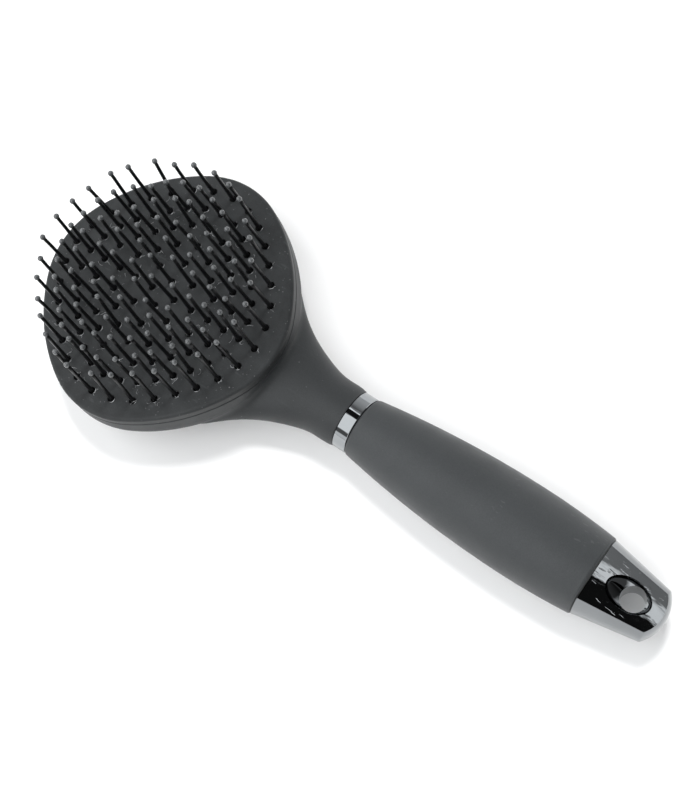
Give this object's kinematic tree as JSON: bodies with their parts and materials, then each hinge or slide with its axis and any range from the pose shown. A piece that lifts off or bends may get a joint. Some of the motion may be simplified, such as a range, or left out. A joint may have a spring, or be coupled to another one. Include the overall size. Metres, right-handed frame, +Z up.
{
  "type": "bristle brush",
  "caption": "Pet bristle brush with a rounded paddle head of ball-tipped pins on a cushion, a soft barrel grip and a chrome end cap with a hanging hole.",
  "frame": {"origin": "middle of the brush's footprint, on the surface it lies on when it lies on its back", "axes": "+X along the grip from the head to the hanging hole, +Y across the head, +Z up, the side the pins are on"},
  "size_m": [0.2256, 0.0878, 0.0471],
  "materials": {
    "shell_plastic": "matte moulded, charcoal",
    "face_plastic": "matte moulded, charcoal",
    "pad_rubber": "matte black",
    "foam": "open-cell grey foam",
    "ferrule_chrome": "bright chrome",
    "core_plastic": "as moulded",
    "sleeve_rubber": "soft-touch matte grey",
    "cap_chrome": "bright chrome",
    "screw_steel": "zinc plated",
    "washer_steel": "zinc plated",
    "pin_shaft": "glossy black coating",
    "pin_bead": "satin grey dip"
  },
  "bodies": {
    "brush": {"body_shell": "shell_plastic", "face_plate": "face_plastic", "pin_pad": "pad_rubber", "foam_cushion": "foam", "ferrule_ring": "ferrule_chrome", "grip_core": "core_plastic", "grip_sleeve": "sleeve_rubber", "end_cap": "cap_chrome", "tang_screw": "screw_steel", "tang_washer": "washer_steel"},
    "pin_ring_1": {"pins_ring_1": "pin_shaft", "beads_ring_1": "pin_bead"},
    "pin_ring_2": {"pins_ring_2": "pin_shaft", "beads_ring_2": "pin_bead"},
    "pin_ring_3": {"pins_ring_3": "pin_shaft", "beads_ring_3": "pin_bead"},
    "pin_ring_4": {"pins_ring_4": "pin_shaft", "beads_ring_4": "pin_bead"},
    "pin_ring_5": {"pins_ring_5": "pin_shaft", "beads_ring_5": "pin_bead"},
    "pin_ring_6": {"pins_ring_6": "pin_shaft", "beads_ring_6": "pin_bead"}
  },
  "joints": [
    {"name": "pin_ring_1_give", "type": "slide", "parent": "brush", "child": "pin_ring_1", "axis": [-0.1736, 0, 0.9848], "range_m": [-0.0025, 0], "stiffness_N_per_m": 400, "deforming": ["pin_pad", "foam_cushion"]},
    {"name": "pin_ring_2_give", "type": "slide", "parent": "brush", "child": "pin_ring_2", "axis": [-0.1736, 0, 0.9848], "range_m": [-0.0025, 0], "stiffness_N_per_m": 800, "deforming": ["pin_pad", "foam_cushion"]},
    {"name": "pin_ring_3_give", "type": "slide", "parent": "brush", "child": "pin_ring_3", "axis": [-0.1736, 0, 0.9848], "range_m": [-0.0025, 0], "stiffness_N_per_m": 1600, "deforming": ["pin_pad", "foam_cushion"]},
    {"name": "pin_ring_4_give", "type": "slide", "parent": "brush", "child": "pin_ring_4", "axis": [-0.1736, 0, 0.9848], "range_m": [-0.0025, 0], "stiffness_N_per_m": 2400, "deforming": ["pin_pad", "foam_cushion"]},
    {"name": "pin_ring_5_give", "type": "slide", "parent": "brush", "child": "pin_ring_5", "axis": [-0.1736, 0, 0.9848], "range_m": [-0.0025, 0], "stiffness_N_per_m": 3200, "deforming": ["pin_pad", "foam_cushion"]},
    {"name": "pin_ring_6_give", "type": "slide", "parent": "brush", "child": "pin_ring_6", "axis": [-0.1736, 0, 0.9848], "range_m": [-0.0025, 0], "stiffness_N_per_m": 3200, "deforming": ["pin_pad", "foam_cushion"]}
  ]
}
